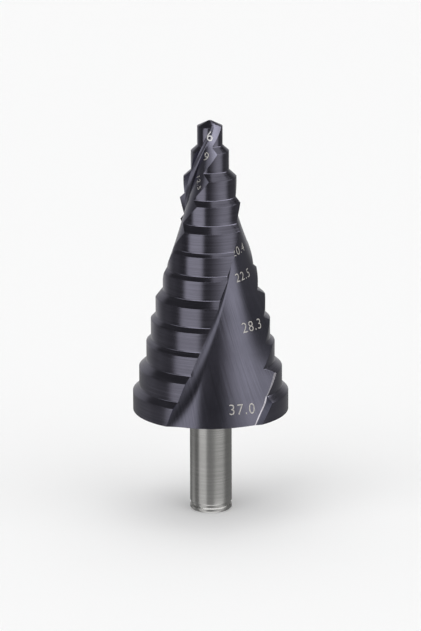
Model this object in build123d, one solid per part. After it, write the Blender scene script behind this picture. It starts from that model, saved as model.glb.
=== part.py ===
"""Step drill: a cone of twelve steps with two spiral flutes on a plain round shank.

The drill is one piece of ground high-speed steel.  +Z runs along its axis, from the
centre of the shank's end face to the point.  All lengths are in millimetres.
"""

from build123d import *
import math
import os

# Steps, named from the point down to the base
step_diameters = [6.0, 9.0, 12.5, 15.2, 18.6, 20.4, 22.5, 26.0, 28.3, 30.5, 34.0, 37.0]
step_length = 4.56         # straight part of every step
shoulder_angle = 47.4      # lead-in cone of a step, measured from the axis
point_angle = 127.0        # included angle of the drill point

# Shank
shank_diameter = 10.0
shank_length = 25.0
end_chamfer = 0.4
ring_groove_width = 0.7
ring_groove_depth = 0.25
ring_groove_height = 1.2   # lower side of the groove, above the shank's end face

# Flutes
flute_count = 2
cutting_edge_start = -124.5  # direction of the first cutting edge at the base, degrees
helix_angle_base = 22.2    # between the cutting edge and the axis, at the base
helix_angle_point = 27.0   # the same at the first step
flute_depth_base = 1.2     # from the largest step in to the flute floor, at the underside of the head
flute_depth_point = 2.1    # the same on the first step, at the shoulder of the point
flute_angle_base = 90.0    # share of a turn that each flute takes at the base, in degrees
flute_angle_point = 84.0   # the same at the point
base_narrowing = 9.5       # degrees that the flute loses again at the underside
narrowing_height = 4.0     # height at which half of that loss is left
heel_land = 1.5            # arc that the heel keeps back from that share
heel_rise = 4.2            # arc over which the floor climbs to the heel
root_width_base = 5.5      # arc from the cutting edge to the flute's deepest line
root_width_point = 1.0
station_spacing = 6.0      # between the flute's sections along the axis
run_out = 2.0              # how far the flute's cutter reaches past the head
cutter_clearance = 4.0     # how far it reaches outside the steps

# Worked out from the above
step_radii = [d / 2 for d in step_diameters]
shank_radius = shank_diameter / 2
cone_rise = 1 / math.tan(math.radians(shoulder_angle))
cone_heights = [(b - a) * cone_rise for a, b in zip(step_radii, step_radii[1:])]
fluted_length = len(step_radii) * step_length + sum(cone_heights)
point_length = step_radii[0] / math.tan(math.radians(point_angle / 2))

# The middles of the steps lie near one cone, and the steps stand out from it by half a pitch
mean_slope = (step_radii[-1] - step_radii[0]) / (fluted_length - step_length)
mean_radius_base = step_radii[-1] + mean_slope * step_length / 2
half_step = mean_slope * step_length / 2


def mean_radius(height):
    """Radius of the cone through the middles of the steps, at a height above the underside."""
    return mean_radius_base - mean_slope * height


def core_radius(height):
    """Radius of the core cone that the flute floors touch."""
    core_base = step_radii[-1] - flute_depth_base
    core_point = step_radii[0] - flute_depth_point
    return core_base - (core_base - core_point) / fluted_length * height


def root_width(height):
    """Arc from the cutting edge to the deepest line; the root opens out towards the base."""
    to_base = (1 - height / fluted_length) ** 3
    return root_width_point + (root_width_base - root_width_point) * to_base


def flute_share(height):
    """Degrees that a flute takes: more towards the base, less again on the largest step."""
    to_base = (1 - height / fluted_length) ** 2
    share = flute_angle_point + (flute_angle_base - flute_angle_point) * to_base
    return share - base_narrowing / (1 + (height / narrowing_height) ** 4)


def turn(height):
    """Degrees that a cutting edge turns up to a height, on the mean cone.

    The helix angle grows towards the point: its tangent is steady + growing / radius,
    which makes the turn a logarithm of the radius and a term in one over the radius.
    """
    tangent_base = math.tan(math.radians(helix_angle_base))
    tangent_point = math.tan(math.radians(helix_angle_point))
    thinning = 1 / step_radii[0] - 1 / mean_radius_base
    growing = (tangent_point - tangent_base) / thinning
    steady = tangent_base - growing / mean_radius_base
    radius = mean_radius(height)
    radians = steady * math.log(mean_radius_base / radius)
    radians += growing * (1 / radius - 1 / mean_radius_base)
    return math.degrees(radians / mean_slope)


def polar(radius, degrees, height):
    """Point at a radius and direction about the axis."""
    angle = math.radians(degrees)
    return Vector(radius * math.cos(angle), radius * math.sin(angle), height)


def drill_outline():
    """Half outline of the unfluted drill, from the centre of the shank's end to the point."""
    groove_top = ring_groove_height + ring_groove_width
    groove_radius = shank_radius - ring_groove_depth
    points = [
        (0, 0),
        (shank_radius - end_chamfer, 0),
        (shank_radius, end_chamfer),
        (shank_radius, ring_groove_height),
        (groove_radius, ring_groove_height),
        (groove_radius, groove_top),
        (shank_radius, groove_top),
        (shank_radius, shank_length),
    ]
    height = shank_length
    for radius, rise in zip(reversed(step_radii), reversed([*cone_heights, 0])):
        height += rise
        points.append((radius, height))
        height += step_length
        points.append((radius, height))
    points.append((0, height + point_length))
    return points


def blank():
    """The turned drill before its flutes are ground."""
    return revolve(Plane.XZ * make_face(Polyline(drill_outline(), close=True)), Axis.Z)


def flute_section(height, start):
    """Ratchet-shaped section of one flute: a radial rake face, a rounded root and a long floor.

    The root is a parabola from the foot of the rake face to the core.  From there the floor
    climbs as a power of the way to the heel, and leaves the mean cone by a step's height.
    """
    z = shank_length + height
    radius = mean_radius(height)
    core = core_radius(height)
    foot = radius - half_step
    edge = start + turn(height)
    root = edge + math.degrees(root_width(height) / radius)
    heel = edge + flute_share(height) - math.degrees(heel_land / radius)
    power = max(2, radius * math.radians(heel - root) / heel_rise)
    over = (1 + 2 * half_step / (radius - core)) ** (1 / power)
    floor = []
    for way in (0, 0.3, 0.6, 0.85, 1):
        share = over * way
        rise = (radius - core) * share**power
        floor.append(polar(core + rise, root + (heel - root) * share, z))
    end = root + (heel - root) * over
    outside = radius + cutter_clearance
    corners = [polar(outside, angle, z) for angle in (end, (edge + end) / 2, edge)]
    sides = [
        Line(corners[2], polar(foot, edge, z)),
        Bezier(polar(foot, edge, z), polar(core, (edge + root) / 2, z), floor[0]),
        Spline(*floor),
        Line(floor[-1], corners[0]),
        ThreePointArc(*corners),
    ]
    return make_face(Wire(sides))


def flute(start):
    """Cutter for one flute: its section carried up the cone and turned with the helix."""
    bottom = -run_out
    top = fluted_length + point_length + run_out / 2
    count = math.ceil((top - bottom) / station_spacing)
    heights = [bottom + (top - bottom) * index / count for index in range(count + 1)]
    return loft([flute_section(height, start) for height in heights])


starts = [cutting_edge_start + 360 / flute_count * index for index in range(flute_count)]
drill = blank() - [flute(start) for start in starts]

os.makedirs("parts", exist_ok=True)
export_step(drill, "parts/step_drill.step")
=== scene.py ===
import math

import bmesh
import bpy
import numpy as np
from mathutils import Matrix


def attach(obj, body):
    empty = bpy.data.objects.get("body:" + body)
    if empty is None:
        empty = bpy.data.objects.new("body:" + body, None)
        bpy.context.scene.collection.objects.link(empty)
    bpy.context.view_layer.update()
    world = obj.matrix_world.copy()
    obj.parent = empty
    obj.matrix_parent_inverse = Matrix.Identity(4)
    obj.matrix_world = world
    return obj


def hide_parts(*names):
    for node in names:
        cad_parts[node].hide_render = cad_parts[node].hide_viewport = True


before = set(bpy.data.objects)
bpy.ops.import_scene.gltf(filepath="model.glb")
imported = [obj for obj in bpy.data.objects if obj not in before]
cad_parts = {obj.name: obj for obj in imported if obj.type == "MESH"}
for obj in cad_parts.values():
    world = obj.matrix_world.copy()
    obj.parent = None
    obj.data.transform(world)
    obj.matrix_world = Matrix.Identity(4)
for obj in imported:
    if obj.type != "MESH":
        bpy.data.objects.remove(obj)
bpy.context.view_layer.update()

# Shapes are worked out in millimetres along the drill's axis, and turned to metres in a mesh.
MM = 0.001

SHANK_LENGTH = 25.0
SHANK_RADIUS = 5.0
END_CHAMFER = 0.4
GROOVE_RADIUS = 4.75
GROOVE_BOTTOM = 1.2
GROOVE_TOP = 1.9
GROOVE_BEVEL = 0.11       # how far the bevels beside the groove reach in
SHANK_ROUNDING = 0.04
SHANK_OVERLAP = 1.0       # how far the shank runs up inside the head
SHANK_HOLE = 0.3          # radius inside which the shank's two ends are closed by a fan
SHADE_STARTS = 2.9         # below the head, where the painted shade starts and where it is full
SHADE_FULL = 1.7

# Steps, from the base to the point
STEP_RADII = np.array([37.0, 34.0, 30.5, 28.3, 26.0, 22.5, 20.4, 18.6, 15.2, 12.5, 9.0, 6.0]) / 2
STEP_LENGTH = 4.56
SHOULDER_ANGLE = 47.4
POINT_ANGLE = 127.0
FOOT_FILLET = 0.4
CORNER_ROUNDING = 0.05
APEX_RADIUS = 0.02
CONE_RISE = 1 / math.tan(math.radians(SHOULDER_ANGLE))
FLUTED_LENGTH = len(STEP_RADII) * STEP_LENGTH + (STEP_RADII[0] - STEP_RADII[-1]) * CONE_RISE
POINT_LENGTH = STEP_RADII[-1] / math.tan(math.radians(POINT_ANGLE / 2))

# The cone through the middles of the steps, from which they stand out by half a pitch
MEAN_SLOPE = (STEP_RADII[0] - STEP_RADII[-1]) / (FLUTED_LENGTH - STEP_LENGTH)
MEAN_BASE = STEP_RADII[0] + MEAN_SLOPE * STEP_LENGTH / 2
HALF_STEP = MEAN_SLOPE * STEP_LENGTH / 2
LEAST_MEAN_RADIUS = 0.4   # keeps the logarithms finite above the point

# Flutes
FIRST_EDGE = math.radians(-124.5)
HELIX_BASE = math.tan(math.radians(22.2))
HELIX_POINT = math.tan(math.radians(27.0))
FLUTE_DEPTH_BASE = 1.2    # from the largest step in to the flute floor
FLUTE_DEPTH_POINT = 2.1   # the same on the first step
CORE_BASE = STEP_RADII[0] - FLUTE_DEPTH_BASE
CORE_POINT = STEP_RADII[-1] - FLUTE_DEPTH_POINT
WEB_GAIN = 0.8            # how much thicker the core is at the point than a plain cone
WEB_FROM = 52.0
ROOT_WIDTH_BASE = 5.5
ROOT_WIDTH_POINT = 1.0
FLUTE_ANGLE_BASE = 90.0
FLUTE_ANGLE_POINT = 84.0
HEEL_LAND = 1.5
HEEL_RISE = 4.2
GRINDING_LEAN = math.radians(14)

# The relief behind the largest step's heel: heights, and the degrees past the cutting edge
# at which its crease and its border lie
RELIEF_HEIGHTS = [0.0, 2.3, 4.56, 6.1]
RELIEF_CREASE = [70.1, 72.7, 76.0, 77.2]
RELIEF_BORDER = [75.4, 78.0, 80.5, 78.4]
# The strip along the heel of the two largest steps, worn bare and made brighter as a painted
# highlight: heights and widths
WORN_HIGHLIGHT_HEIGHTS = [0.0, 6.1, 10.6, 10.7]
WORN_HIGHLIGHT_WIDTHS = [0.25, 0.3, 0.75, 0.02]
LEAST_CROSSING = 0.35     # share of the floor that is left where the steps are cut through
HEEL_GAP = math.radians(0.1)

# Columns of the head's grid over half a turn; the worn strip with its painted highlight follows the
# root and the floor
ROOT_COLUMNS = 13
FLOOR_COLUMNS = 30
LAND_COLUMNS = 46
WORN_HIGHLIGHT_COLUMN = ROOT_COLUMNS + FLOOR_COLUMNS
# Finishes of the head, in the order of its material slots
LAND, FLUTE, UNDER, WORN_HIGHLIGHT, RELIEF_SHADE = range(5)


# ---- The laws of the flute, each worked out for an array of heights above the head's underside

def mean_radius(height):
    """The cone through the middles of the steps: base radius minus slope times height."""
    return MEAN_BASE - MEAN_SLOPE * height


def core_radius(height):
    """The floor's least radius: a straight fall to the point, plus a gain squared from WEB_FROM."""
    to_point = np.clip((height - WEB_FROM) / (FLUTED_LENGTH - WEB_FROM), 0, 1)
    fall = (CORE_BASE - CORE_POINT) / FLUTED_LENGTH
    return CORE_BASE - fall * height + WEB_GAIN * to_point ** 2


def edge_angle(height):
    """The cutting edge's angle.

    The tangent of its lean to the axis is steady + growing / radius. Summed up the cone, that
    gives a logarithm of the radius and a term in one over the radius.
    """
    growing = (HELIX_POINT - HELIX_BASE) / (1 / STEP_RADII[-1] - 1 / MEAN_BASE)
    steady = HELIX_BASE - growing / MEAN_BASE
    radius = np.maximum(mean_radius(height), LEAST_MEAN_RADIUS)
    turned = steady * np.log(MEAN_BASE / radius) + growing * (1 / radius - 1 / MEAN_BASE)
    return FIRST_EDGE + turned / MEAN_SLOPE


def root_angle(height):
    """The deepest line's angle: the edge's, plus an arc that grows to the base as a cube."""
    to_base = np.maximum(1 - height / FLUTED_LENGTH, 0) ** 3
    width = ROOT_WIDTH_POINT + (ROOT_WIDTH_BASE - ROOT_WIDTH_POINT) * to_base
    return edge_angle(height) + width / mean_radius(height)


def heel_angle(height):
    """The heel's angle: the edge's, plus a share of the turn that grows to the base as a square."""
    to_base = (1 - height / FLUTED_LENGTH) ** 2
    share = FLUTE_ANGLE_POINT + (FLUTE_ANGLE_BASE - FLUTE_ANGLE_POINT) * to_base
    return edge_angle(height) + np.radians(share) - HEEL_LAND / mean_radius(height)


def floor_power(height):
    """How steeply the floor climbs: the arc of the floor over the heel's rise, never under two."""
    arc = mean_radius(height) * (heel_angle(height) - root_angle(height))
    return np.maximum(2, arc / HEEL_RISE)


# ---- Meshes

def grid_mesh(name, points, uv, close_start, close_end):
    """Rows and columns of points wrapped into a tube of quads, with a fan at each closed end."""
    rows, columns = points.shape[:2]
    vertices = points.reshape(-1, 3)
    corner = np.arange(rows * columns).reshape(rows, columns)
    right = np.roll(corner, -1, axis=1)
    quads = np.stack([corner[:-1], right[:-1], right[1:], corner[1:]], axis=-1).reshape(-1, 4)
    faces = quads.tolist()
    ends = []
    if close_start:
        ends.append(points[0].mean(axis=0))
        middle = len(vertices) + len(ends) - 1
        faces += np.stack([np.full(columns, middle), right[0], corner[0]], axis=-1).tolist()
    if close_end:
        ends.append(points[-1].mean(axis=0))
        middle = len(vertices) + len(ends) - 1
        faces += np.stack([np.full(columns, middle), corner[-1], right[-1]], axis=-1).tolist()
    mesh = bpy.data.meshes.new(name)
    mesh.from_pydata(np.concatenate([vertices, *[end[None] for end in ends]]) * MM, [], faces)
    layer = mesh.uv_layers.new(name="along_flute")
    u, v = uv
    after = np.concatenate([u[:, 1:], u[:, :1] + 1], axis=1)
    sides = np.stack([u[:-1], after[:-1], after[1:], u[1:]], axis=-1)
    heights = np.stack([v[:-1], v[:-1], v[1:], v[1:]], axis=-1)
    mapped = np.stack([sides, heights], axis=-1).reshape(-1, 2)
    loops = np.zeros((len(mesh.loops), 2))
    loops[:len(mapped)] = mapped
    layer.data.foreach_set("uv", loops.astype(np.float32).ravel())
    mesh.polygons.foreach_set("use_smooth", np.ones(len(mesh.polygons), dtype=bool))
    mesh.set_sharp_from_angle(angle=math.radians(20))
    mesh.update()
    return mesh


def polar_points(angle, radius, height):
    """x = radius cos angle, y = radius sin angle, z = height above the shank's end."""
    return np.stack([radius * np.cos(angle), radius * np.sin(angle), height + 0 * angle], axis=-1)


def round_profile(corners, radii, arc_rows, run_rows):
    """A polyline of radius and height with its corners rounded.

    Each corner becomes a parabola between the two points where a circle of its radius would
    touch, and straight rows fill the runs between the parabolas.
    """
    before = corners[1:-1] - corners[:-2]
    after = corners[2:] - corners[1:-1]
    before /= np.linalg.norm(before, axis=1, keepdims=True)
    after /= np.linalg.norm(after, axis=1, keepdims=True)
    turned = np.arccos(np.clip((before * after).sum(axis=1), -1, 1))
    reach = (radii * np.tan(turned / 2))[:, None, None]
    along = np.linspace(0, 1, arc_rows)[None, :, None]
    middle = corners[1:-1][:, None]
    arcs = middle - before[:, None] * reach * (1 - along) ** 2 + after[:, None] * reach * along ** 2
    starts = np.concatenate([corners[:1], arcs[:, -1]])[:, None]
    ends = np.concatenate([arcs[:, 0], corners[-1:]])[:, None]
    between = np.linspace(0, 1, run_rows + 2)[1:-1][None, :, None]
    runs = starts + (ends - starts) * between
    inner = np.concatenate([arcs, runs[1:]], axis=1).reshape(-1, 2)
    return np.concatenate([corners[:1], runs[0], inner])


def head_profile():
    """Rows of radius and height up the steps and the point, with fillets and broken corners."""
    count = len(STEP_RADII)
    bottoms = np.arange(count) * STEP_LENGTH + (STEP_RADII[0] - STEP_RADII) * CONE_RISE
    feet = np.stack([STEP_RADII, bottoms], axis=-1)
    tops = np.stack([STEP_RADII, bottoms + STEP_LENGTH], axis=-1)
    corners = np.stack([feet, tops], axis=1).reshape(-1, 2)
    apex = [[APEX_RADIUS, FLUTED_LENGTH + POINT_LENGTH]]
    corners = np.concatenate([corners, apex])
    radii = np.where(np.arange(2 * count - 1) % 2 == 0, CORNER_ROUNDING, FOOT_FILLET)
    return round_profile(corners, radii, 5, 7)


def half_turn(radius, height):
    """Angles and radii over half a turn, from one cutting edge to the next.

    The rake face drops to the root, a parabola that ends on the core. The floor climbs from
    there as a power of the way to the heel. A flat facet, whose first part is the worn strip
    with its painted highlight, leads up to the steps' own radius, which the land keeps.
    """
    mean, core = mean_radius(height), core_radius(height)
    foot = mean - HALF_STEP
    edge, root, heel = edge_angle(height), root_angle(height), heel_angle(height)
    power = floor_power(height)
    bend = (edge + root) / 2
    step = np.linspace(0, 1, ROOT_COLUMNS)[None, :]
    x = (1 - step) ** 2 * foot + 2 * step * (1 - step) * core * np.cos(bend - edge)
    x = x + step ** 2 * core * np.cos(root - edge)
    y = 2 * step * (1 - step) * core * np.sin(bend - edge)
    y = y + step ** 2 * core * np.sin(root - edge)
    root_turn, root_reach = edge + np.arctan2(y, x), np.hypot(x, y)
    worn_highlight = np.interp(height, WORN_HIGHLIGHT_HEIGHTS, WORN_HIGHLIGHT_WIDTHS) / mean
    crossing = (np.clip(radius - core, 1e-6, None) / (mean - core)) ** (1 / power)
    border = root + (heel - root) * np.maximum(crossing, LEAST_CROSSING) + HEEL_GAP
    crease = border - worn_highlight - HEEL_GAP
    low = height < RELIEF_HEIGHTS[-1]
    low_crease = edge + np.radians(np.interp(height, RELIEF_HEIGHTS, RELIEF_CREASE))
    low_border = edge + np.radians(np.interp(height, RELIEF_HEIGHTS, RELIEF_BORDER))
    crease = np.where(low, low_crease, crease)
    border = np.where(low, low_border, border)
    closer_to_heel = 1 - (1 - np.linspace(0, 1, FLOOR_COLUMNS + 1)[None, 1:]) ** 1.6
    share = (crease - root) / (heel - root) * closer_to_heel
    floor_turn = root + (heel - root) * share
    floor_reach = core + (mean - core) * share ** power
    border = np.maximum(border, crease + 1.05 * worn_highlight)
    step = worn_highlight / (border - crease)
    step = np.concatenate([step, (step + 1) / 2, 1 + 0 * step], axis=1)
    facet_turn = crease + (border - crease) * step
    facet_reach = floor_reach[:, -1:] + (radius - floor_reach[:, -1:]) * step
    over = np.linspace(0, 1, LAND_COLUMNS + 2)[None, 1:-1]
    land_turn = border + (edge + math.pi - border) * over
    angle = np.concatenate([edge, root_turn, floor_turn, facet_turn, land_turn], axis=1)
    land_reach = radius + 0 * land_turn
    reach = np.concatenate([radius, root_reach, floor_reach, facet_reach, land_reach], axis=1)
    return angle, np.minimum(reach, radius)


def head_mesh():
    """The head: at each angle and height, the lesser of the steps' radius and the flute's."""
    profile = head_profile()
    radius, height = profile[:, :1], profile[:, 1:]
    angle, reach = half_turn(radius, height)
    columns = angle.shape[1]
    angle = np.concatenate([angle, angle + math.pi], axis=1)
    reach = np.concatenate([reach, reach], axis=1)
    under = np.array([0.1, 0.3, 0.5, 0.7, 0.9])[:, None]
    angle = np.concatenate([np.repeat(angle[:1], len(under), axis=0), angle])
    reach = np.concatenate([reach[:1] * under, reach])
    height = np.concatenate([0 * under, height])
    points = polar_points(angle, reach, height + SHANK_LENGTH)
    leaning = math.tan(GRINDING_LEAN) / MEAN_SLOPE
    leaning = leaning * np.log(MEAN_BASE / np.maximum(mean_radius(height), LEAST_MEAN_RADIUS))
    u = (angle + leaning) / (2 * math.pi)
    v = (height + 0 * angle) / FLUTED_LENGTH
    mesh = grid_mesh("step_drill_head", points, (u, v), True, True)
    mesh.polygons.foreach_set("material_index", head_finishes(height[:-1, 0], columns, len(under)))
    return mesh


def head_finishes(height, columns, under_rows):
    """The finish of every face: row by row up the head, then the fans at its two ends."""
    half = np.full(columns, LAND, dtype=np.int32)
    half[:WORN_HIGHLIGHT_COLUMN] = FLUTE
    finish = np.tile(half, (len(height), 2))
    # Rows up to the strip's top take the worn finish, made brighter as a painted highlight.
    worn_highlight = np.flatnonzero(height < WORN_HIGHLIGHT_HEIGHTS[-2])
    finish[np.ix_(worn_highlight, [WORN_HIGHLIGHT_COLUMN, columns + WORN_HIGHLIGHT_COLUMN])] = WORN_HIGHLIGHT
    # The relief facet's columns low on the head take a darker copy of the coating, as painted
    # shade.
    low = np.flatnonzero(height < RELIEF_HEIGHTS[-1])
    for column in (WORN_HIGHLIGHT_COLUMN + 1, WORN_HIGHLIGHT_COLUMN + 2):
        finish[np.ix_(low, [column, columns + column])] = RELIEF_SHADE
    finish[:under_rows] = UNDER
    fans = np.repeat(np.array([UNDER, LAND], dtype=np.int32), 2 * columns)
    return np.concatenate([finish.ravel(), fans])


def shank_mesh():
    """The shank: a profile of radius and height, with its ring groove, turned round the axis."""
    top = SHANK_LENGTH + SHANK_OVERLAP
    corners = np.array([
        [SHANK_HOLE, 0.0], [SHANK_RADIUS - END_CHAMFER, 0.0], [SHANK_RADIUS, END_CHAMFER],
        [SHANK_RADIUS, GROOVE_BOTTOM - 0.25], [SHANK_RADIUS - GROOVE_BEVEL, GROOVE_BOTTOM],
        [GROOVE_RADIUS, GROOVE_BOTTOM], [GROOVE_RADIUS, GROOVE_TOP],
        [SHANK_RADIUS - GROOVE_BEVEL, GROOVE_TOP], [SHANK_RADIUS, GROOVE_TOP + 0.2],
        [SHANK_RADIUS, top], [SHANK_HOLE, top],
    ])
    profile = round_profile(corners, np.full(len(corners) - 2, SHANK_ROUNDING), 4, 12)
    angle = np.linspace(0, 2 * math.pi, 129)[None, :-1]
    radius, height = profile[:, :1], profile[:, 1:]
    points = polar_points(angle + 0 * radius, radius + 0 * angle, height)
    uv = (angle / (2 * math.pi) + 0 * radius, height / SHANK_LENGTH + 0 * angle)
    return grid_mesh("step_drill_shank", points, uv, True, True)


def add_piece(mesh, materials):
    """Puts a finished mesh in the scene as part of the drill."""
    piece = bpy.data.objects.new(mesh.name, mesh)
    bpy.context.scene.collection.objects.link(piece)
    for material in materials:
        mesh.materials.append(material)
    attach(piece, "root")
    return piece


# ---- Finishes

def new_material(name, metallic, roughness, colour):
    """A material and its shader, with the plain values set."""
    material = bpy.data.materials.new(name)
    material.use_nodes = True
    shader = material.node_tree.nodes["Principled BSDF"]
    shader.inputs["Metallic"].default_value = metallic
    shader.inputs["Roughness"].default_value = roughness
    shader.inputs["Base Color"].default_value = (*colour, 1)
    return material, shader


def noise_on(material, coordinate, scale, detail=3.0):
    """Noise over the piece's own coordinates, drawn out along the axes whose scale is small."""
    nodes, links = material.node_tree.nodes, material.node_tree.links
    source = nodes.new("ShaderNodeTexCoord")
    mapping = nodes.new("ShaderNodeMapping")
    mapping.inputs["Scale"].default_value = scale
    noise = nodes.new("ShaderNodeTexNoise")
    noise.inputs["Scale"].default_value = 1
    noise.inputs["Detail"].default_value = detail
    links.new(source.outputs[coordinate], mapping.inputs["Vector"])
    links.new(mapping.outputs["Vector"], noise.inputs["Vector"])
    return noise.outputs["Fac"]


def remap(material, value, low, high, span=(0.3, 0.7)):
    """Carries a value from span to low .. high, held at the ends."""
    node = material.node_tree.nodes.new("ShaderNodeMapRange")
    node.inputs["From Min"].default_value, node.inputs["From Max"].default_value = span
    node.inputs["To Min"].default_value, node.inputs["To Max"].default_value = low, high
    material.node_tree.links.new(value, node.inputs["Value"])
    return node.outputs["Result"]


def blend_colours(material, value, first, second):
    """A colour ramp of two colours over value."""
    node = material.node_tree.nodes.new("ShaderNodeValToRGB")
    node.color_ramp.elements[0].position = 0.3
    node.color_ramp.elements[1].position = 0.7
    node.color_ramp.elements[0].color = (*first, 1)
    node.color_ramp.elements[1].color = (*second, 1)
    material.node_tree.links.new(value, node.inputs["Fac"])
    return node.outputs["Color"]


def bump(material, shader, value, depth):
    """Raises the surface by value times depth, in metres."""
    node = material.node_tree.nodes.new("ShaderNodeBump")
    node.inputs["Strength"].default_value = 1
    node.inputs["Distance"].default_value = depth
    material.node_tree.links.new(value, node.inputs["Height"])
    material.node_tree.links.new(node.outputs["Normal"], shader.inputs["Normal"])


def ground_finish(name, coordinate, scale, roughness, dark, light, depth):
    """Ground metal: fine lines in height, colour and gloss, and slow clouds in the colour."""
    material, shader = new_material(name, 1.0, roughness[0], light)
    links = material.node_tree.links
    lines = noise_on(material, coordinate, scale)
    clouds = noise_on(material, "Object", (90, 90, 90), 4)
    both = material.node_tree.nodes.new("ShaderNodeMath")
    both.operation = "ADD"
    links.new(remap(material, lines, 0.0, 0.5), both.inputs[0])
    links.new(remap(material, clouds, 0.0, 0.5), both.inputs[1])
    colour = blend_colours(material, both.outputs["Value"], dark, light)
    links.new(colour, shader.inputs["Base Color"])
    links.new(remap(material, lines, *roughness), shader.inputs["Roughness"])
    bump(material, shader, lines, depth)
    return material


def paint_shade_under_head(material):
    """Painted shade below the head: the colour falls to a tenth between two heights."""
    nodes, links = material.node_tree.nodes, material.node_tree.links
    place, parts = nodes.new("ShaderNodeTexCoord"), nodes.new("ShaderNodeSeparateXYZ")
    links.new(place.outputs["Object"], parts.inputs["Vector"])
    fade = ((SHANK_LENGTH - SHADE_STARTS) * MM, (SHANK_LENGTH - SHADE_FULL) * MM)
    painted_shade = remap(material, parts.outputs["Z"], 1.0, 0.1, fade)
    mixed = nodes.new("ShaderNodeMix")
    mixed.data_type, mixed.blend_type = "RGBA", "MULTIPLY"
    mixed.inputs["Factor"].default_value = 1
    socket = nodes["Principled BSDF"].inputs["Base Color"]
    links.new(socket.links[0].from_socket, mixed.inputs[6])
    links.new(painted_shade, mixed.inputs[7])
    links.new(mixed.outputs[2], socket)


land_finish = ground_finish("coated_steps", "Object", (50, 50, 4200), (0.16, 0.23),
                            (0.164, 0.159, 0.199), (0.208, 0.202, 0.253), 2.2e-6)
flute_finish = ground_finish("coated_flutes", "UV", (480, 4, 1), (0.17, 0.24),
                             (0.150, 0.148, 0.188), (0.198, 0.194, 0.246), 4e-6)
under_finish = ground_finish("coated_underside", "Object", (900, 60, 60), (0.3, 0.4),
                             (0.155, 0.152, 0.19), (0.205, 0.20, 0.25), 4e-6)
# The relief facet: a darker copy of the flute coating, as painted shade.
relief_shade_finish = ground_finish("coated_relief_painted_shade", "UV", (480, 4, 1), (0.3, 0.4),
                              (0.050, 0.050, 0.068), (0.075, 0.075, 0.098), 4e-6)
# The heel strip: bare worn metal, made lighter still as a painted highlight.
worn_highlight_finish = ground_finish("worn_heel_highlight", "UV", (500, 5, 1), (0.25, 0.35),
                            (0.34, 0.33, 0.36), (0.46, 0.44, 0.47), 3e-6)
bare_finish = ground_finish("bare_shank", "Object", (60, 60, 3600), (0.2, 0.27),
                            (0.50, 0.495, 0.48), (0.57, 0.565, 0.55), 1.2e-6)
# The shank's colour is darkened just under the head, as painted shade.
paint_shade_under_head(bare_finish)

head_slots = [land_finish, flute_finish, under_finish, worn_highlight_finish, relief_shade_finish]
head = add_piece(head_mesh(), head_slots)
shank = add_piece(shank_mesh(), [bare_finish])
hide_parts("step_drill")


# ---- Size marks

MARK_CUT = 0.3            # side of the squares that the figures are cut into
MARK_STAND_OFF = 3.0      # how far outside the mean cone they start
MARK_LIFT = 0.015
MARK_THICKNESS = 0.03


def baked_mesh(loose):
    """The mesh of a loose object with its modifiers worked in; the object itself is removed."""
    view = bpy.context.evaluated_depsgraph_get()
    mesh = bpy.data.meshes.new_from_object(loose.evaluated_get(view))
    bpy.data.objects.remove(loose)
    return mesh


def mark_outline(text, size):
    """The figures as a flat mesh, cut into small squares so that it can bend."""
    curve = bpy.data.curves.new("mark", "FONT")
    curve.body = text
    curve.size = size
    curve.align_x = curve.align_y = "CENTER"
    curve.space_character = 1.15
    curve.offset = -0.008 * size
    flat = bpy.data.objects.new("mark", curve)
    bpy.context.scene.collection.objects.link(flat)
    mesh = baked_mesh(flat)
    cut = bmesh.new()
    cut.from_mesh(mesh)
    reach = np.arange(-size * len(text) / 2, size * len(text) / 2, MARK_CUT)
    for axis in ((1, 0, 0), (0, 1, 0)):
        for place in reach:
            every = cut.verts[:] + cut.edges[:] + cut.faces[:]
            point = [place * part for part in axis]
            bmesh.ops.bisect_plane(cut, geom=every, plane_co=point, plane_no=axis)
    bmesh.ops.triangulate(cut, faces=cut.faces)
    cut.to_mesh(mesh)
    cut.free()
    return mesh


def add_mark(name, text, size, height, angle, tilt, material):
    """Figures struck straight at the drill's axis from one side, as a marking beam does."""
    mesh = mark_outline(text, size)
    turn = Matrix.Rotation(math.radians(angle + 90), 4, "Z") @ Matrix.Rotation(math.pi / 2, 4, "X")
    place = Matrix.Translation((0, 0, (height + SHANK_LENGTH) * MM)) @ turn
    stand_off = Matrix.Translation((0, 0, (mean_radius(height) + MARK_STAND_OFF) * MM))
    mesh.transform(stand_off @ Matrix.Rotation(math.radians(tilt), 4, "Z") @ Matrix.Scale(MM, 4))
    loose = bpy.data.objects.new(name, mesh)
    loose.matrix_world = place
    bpy.context.scene.collection.objects.link(loose)
    drawn = loose.modifiers.new("to_surface", "SHRINKWRAP")
    drawn.target = head
    drawn.wrap_method = "PROJECT"
    drawn.wrap_mode = "ABOVE_SURFACE"
    drawn.use_project_z = True
    drawn.use_positive_direction = False
    drawn.use_negative_direction = True
    drawn.offset = MARK_LIFT * MM
    skin = loose.modifiers.new("skin", "SOLIDIFY")
    skin.thickness = MARK_THICKNESS * MM
    skin.offset = -1
    final = baked_mesh(loose)
    final.transform(place)
    final.name = name
    return add_piece(final, [material])


def etched_finish(name, metallic, dark, light):
    """Lettering burnt through the coating: matt, with a fine grain in its colour."""
    material, shader = new_material(name, metallic, 0.5, light)
    grain = noise_on(material, "Object", (2500, 2500, 2500), 3)
    colour = blend_colours(material, grain, dark, light)
    material.node_tree.links.new(colour, shader.inputs["Base Color"])
    return material


mark_finish = etched_finish("etched_marks", 0.55, (0.42, 0.40, 0.37), (0.62, 0.60, 0.57))
# A lighter copy of the etched finish for the 6 alone, as a painted highlight.
highlit_mark_finish = etched_finish("etched_marks_painted_highlight", 0.1, (0.82, 0.81, 0.80), (0.93, 0.92, 0.91))

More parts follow.
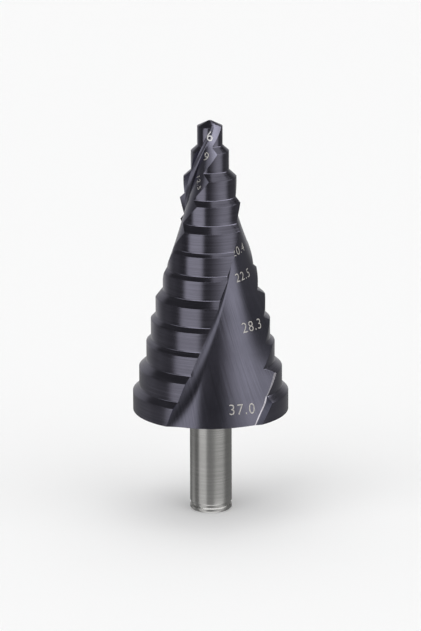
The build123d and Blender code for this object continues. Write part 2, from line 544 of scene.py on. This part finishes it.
# Name, figures, size, height, degrees round the drill, degrees of tilt, finish
SIZE_MARKS = [
    ("mark_37", "37.0", 3.5, 3.9, -63.3, -3, mark_finish),
    ("mark_28", "28.3", 3.4, 22.2, -36.5, 0, mark_finish),
    ("mark_22", "22.5", 2.9, 33.9, -33.0, 4, mark_finish),
    ("mark_20", "20.4", 2.8, 39.8, -31.0, 6, mark_finish),
    ("mark_12", "12.5", 1.75, 56.3, -124.0, -60, mark_finish),
    ("mark_9", "9", 3.0, 62.1, -108.0, -20, mark_finish),
    ("mark_6", "6", 3.3, 66.8, -91.0, 0, highlit_mark_finish),
]
for mark in SIZE_MARKS:
    add_mark(*mark)


# ---- The studio

def stage_mesh(name, vertices, faces, material):
    """A mesh that belongs to the studio and not to the drill."""
    mesh = bpy.data.meshes.new(name)
    mesh.from_pydata(vertices, [], faces)
    mesh.materials.append(material)
    piece = bpy.data.objects.new(name, mesh)
    bpy.context.scene.collection.objects.link(piece)
    return piece


floor_paint, floor_shader = new_material("pale_floor", 0.0, 0.9, (0.9, 0.9, 0.9))
floor_shader.inputs["Specular IOR Level"].default_value = 0
floor_corners = [(-6, -6, 0), (6, -6, 0), (6, 6, 0), (-6, 6, 0)]
floor = stage_mesh("floor", floor_corners, [(0, 1, 2, 3)], floor_paint)
floor.visible_glossy = False


def clear_from_below(material):
    """Lets the camera look up through the floor's underside."""
    nodes, links = material.node_tree.nodes, material.node_tree.links
    side = nodes.new("ShaderNodeNewGeometry")
    clear, mixed = nodes.new("ShaderNodeBsdfTransparent"), nodes.new("ShaderNodeMixShader")
    links.new(side.outputs["Backfacing"], mixed.inputs["Fac"])
    links.new(nodes["Principled BSDF"].outputs["BSDF"], mixed.inputs[1])
    links.new(clear.outputs["BSDF"], mixed.inputs[2])
    links.new(mixed.outputs["Shader"], nodes["Material Output"].inputs["Surface"])


clear_from_below(floor_paint)


def soft_step(value, low, high):
    """0 below low, 1 above high, a smooth rise between."""
    share = np.clip((value - low) / (high - low), 0, 1)
    return share * share * (3 - 2 * share)


def window(value, start, end, edge):
    """1 between start and end, falling to 0 over edge on both sides."""
    return soft_step(value, start - edge, start) * (1 - soft_step(value, end, end + edge))


def table_level(azimuth):
    """What lies lower than the head: a paler surround with the same cards seen dimly in it."""
    level = 0.21 + 0.50 * window(azimuth, -64, -30, 10)
    level = level + 0.10 * window(azimuth, -18, 14, 12)
    return level + 0.22 * window(azimuth, 34, 70, 22)


def studio_level(azimuth, elevation):
    """How bright the surroundings are, by degrees to the right of the front and above level."""
    raised = soft_step(elevation, -12, 4)
    # The left card, on a dark surround
    card = window(azimuth, -58 + 16 * raised, -26, 12) * (1 - soft_step(elevation, 14, 22))
    level = 0.08 + 0.9 * card
    # The right card, brighter towards its far side and above level
    low_slope = 0.68 * soft_step(azimuth, -10, 50) * (1 - soft_step(azimuth, 62, 92))
    high_slope = 0.9 * soft_step(azimuth, 12, 60) * (1 - soft_step(azimuth, 72, 93))
    slope = low_slope + (high_slope - low_slope) * raised
    level = level + slope * (1 - soft_step(elevation, 16, 23))
    # The wall behind the drill
    behind = 0.32 * soft_step(-azimuth, 110, 150) + 0.32 * soft_step(azimuth, 135, 165)
    behind = behind + 0.08 * soft_step(np.abs(azimuth), 75, 105)
    level = level + behind * (1 - soft_step(elevation, 25, 33))
    # Two cards overhead
    overhead = (0.7 + 1.4 * soft_step(azimuth, -75, -35)) * window(azimuth, -85, 110, 15)
    level = level + overhead * window(elevation, 22, 40, 5)
    level = level + 0.55 * window(azimuth, 25, 150, 20) * window(elevation, 52, 84, 6)
    # The table, with two light spots on it and a bright middle
    above_table = soft_step(elevation, -19.3, -18.3)
    level = level * above_table + table_level(azimuth) * (1 - above_table)
    level = level + 0.55 * window(azimuth, 22, 66, 10) * window(elevation, -46, -32, 5)
    level = level + 0.3 * window(azimuth, -122, -104, 8) * window(elevation, -34, -26, 4)
    level = level + 0.9 * (1 - soft_step(elevation, -68, -60))
    return level


DOME_RADIUS = 400.0
DOME_HEIGHT = 60.0        # of its centre above the shank's end


def studio_dome():
    """A sphere round the drill, light where a softbox stands and dark where a flag does."""
    azimuth = np.linspace(-180, 180, 241)[None, :-1]
    elevation = np.linspace(-89, 89, 120)[:, None]
    level = studio_level(azimuth + 0 * elevation, elevation + 0 * azimuth)
    turned, raised = np.radians(azimuth - 90), np.radians(elevation)
    radius = DOME_RADIUS * np.cos(raised) + 0 * turned
    points = polar_points(turned + 0 * raised, radius, DOME_HEIGHT + DOME_RADIUS * np.sin(raised))
    uv = (azimuth / 360 + 0 * elevation, elevation / 180 + 0 * azimuth)
    mesh = grid_mesh("studio_dome", points, uv, True, True)
    shade = np.concatenate([level.ravel(), level[:1].mean(axis=1), level[-1:].mean(axis=1)])
    layer = mesh.attributes.new("level", "FLOAT", "POINT")
    layer.data.foreach_set("value", shade.astype(np.float32))
    material = bpy.data.materials.new("softboxes_and_flags")
    material.use_nodes = True
    nodes, links = material.node_tree.nodes, material.node_tree.links
    nodes.clear()
    attribute = nodes.new("ShaderNodeAttribute")
    attribute.attribute_name = "level"
    glow = nodes.new("ShaderNodeEmission")
    output = nodes.new("ShaderNodeOutputMaterial")
    links.new(attribute.outputs["Fac"], glow.inputs["Strength"])
    links.new(glow.outputs["Emission"], output.inputs["Surface"])
    mesh.materials.append(material)
    dome = bpy.data.objects.new("studio_dome", mesh)
    bpy.context.scene.collection.objects.link(dome)
    dome.visible_camera = dome.visible_diffuse = dome.visible_transmission = False
    dome.visible_shadow = dome.visible_volume_scatter = False


def white_surroundings():
    """White to the camera, to gloss and to glass; a soft grey fill for everything else."""
    world = bpy.data.worlds.new("surroundings")
    world.use_nodes = True
    bpy.context.scene.world = world
    nodes, links = world.node_tree.nodes, world.node_tree.links
    nodes.clear()
    path = nodes.new("ShaderNodeLightPath")
    either, any_of = nodes.new("ShaderNodeMath"), nodes.new("ShaderNodeMath")
    either.operation = any_of.operation = "MAXIMUM"
    fill, white = nodes.new("ShaderNodeBackground"), nodes.new("ShaderNodeBackground")
    fill.inputs["Strength"].default_value = 0.55
    white.inputs["Strength"].default_value = 1.0
    fill.inputs["Color"].default_value = white.inputs["Color"].default_value = (1, 1, 1, 1)
    mixed, output = nodes.new("ShaderNodeMixShader"), nodes.new("ShaderNodeOutputWorld")
    links.new(path.outputs["Is Camera Ray"], either.inputs[0])
    links.new(path.outputs["Is Glossy Ray"], either.inputs[1])
    links.new(either.outputs[0], any_of.inputs[0])
    links.new(path.outputs["Is Transmission Ray"], any_of.inputs[1])
    links.new(any_of.outputs[0], mixed.inputs["Fac"])
    links.new(fill.outputs["Background"], mixed.inputs[1])
    links.new(white.outputs["Background"], mixed.inputs[2])
    links.new(mixed.outputs["Shader"], output.inputs["Surface"])


def add_lamp(name, azimuth, elevation, strength, softness):
    """A far lamp, by degrees right of the front and above level; softness is its width."""
    lamp = bpy.data.lights.new(name, "SUN")
    lamp.energy = strength
    lamp.angle = math.radians(softness)
    stand = bpy.data.objects.new(name, lamp)
    stand.rotation_euler = (math.radians(90 - elevation), 0, math.radians(azimuth))
    bpy.context.scene.collection.objects.link(stand)
    stand.visible_glossy = False


studio_dome()
white_surroundings()
add_lamp("left_lamp", -45, 50, 0.8, 50)
add_lamp("right_lamp", 55, 45, 0.6, 60)
add_lamp("top_lamp", 180, 70, 0.6, 60)


# ---- The camera

CAMERA_PLACE = (0.00002, -0.9611, 0.32382)
CAMERA_PITCH = 0.2797     # radians down from level
CAMERA_ROLL = math.radians(-0.182)

camera_data = bpy.data.cameras.new("camera")
camera_data.lens = 240.76
camera_data.sensor_width = 36
camera_data.clip_start = 0.01
camera = bpy.data.objects.new("camera", camera_data)
camera.matrix_world = (Matrix.Translation(CAMERA_PLACE)
                       @ Matrix.Rotation(math.pi / 2 - CAMERA_PITCH, 4, "X")
                       @ Matrix.Rotation(CAMERA_ROLL, 4, "Z"))
bpy.context.scene.collection.objects.link(camera)
bpy.context.scene.camera = camera
bpy.context.scene.view_settings.view_transform = "Standard"

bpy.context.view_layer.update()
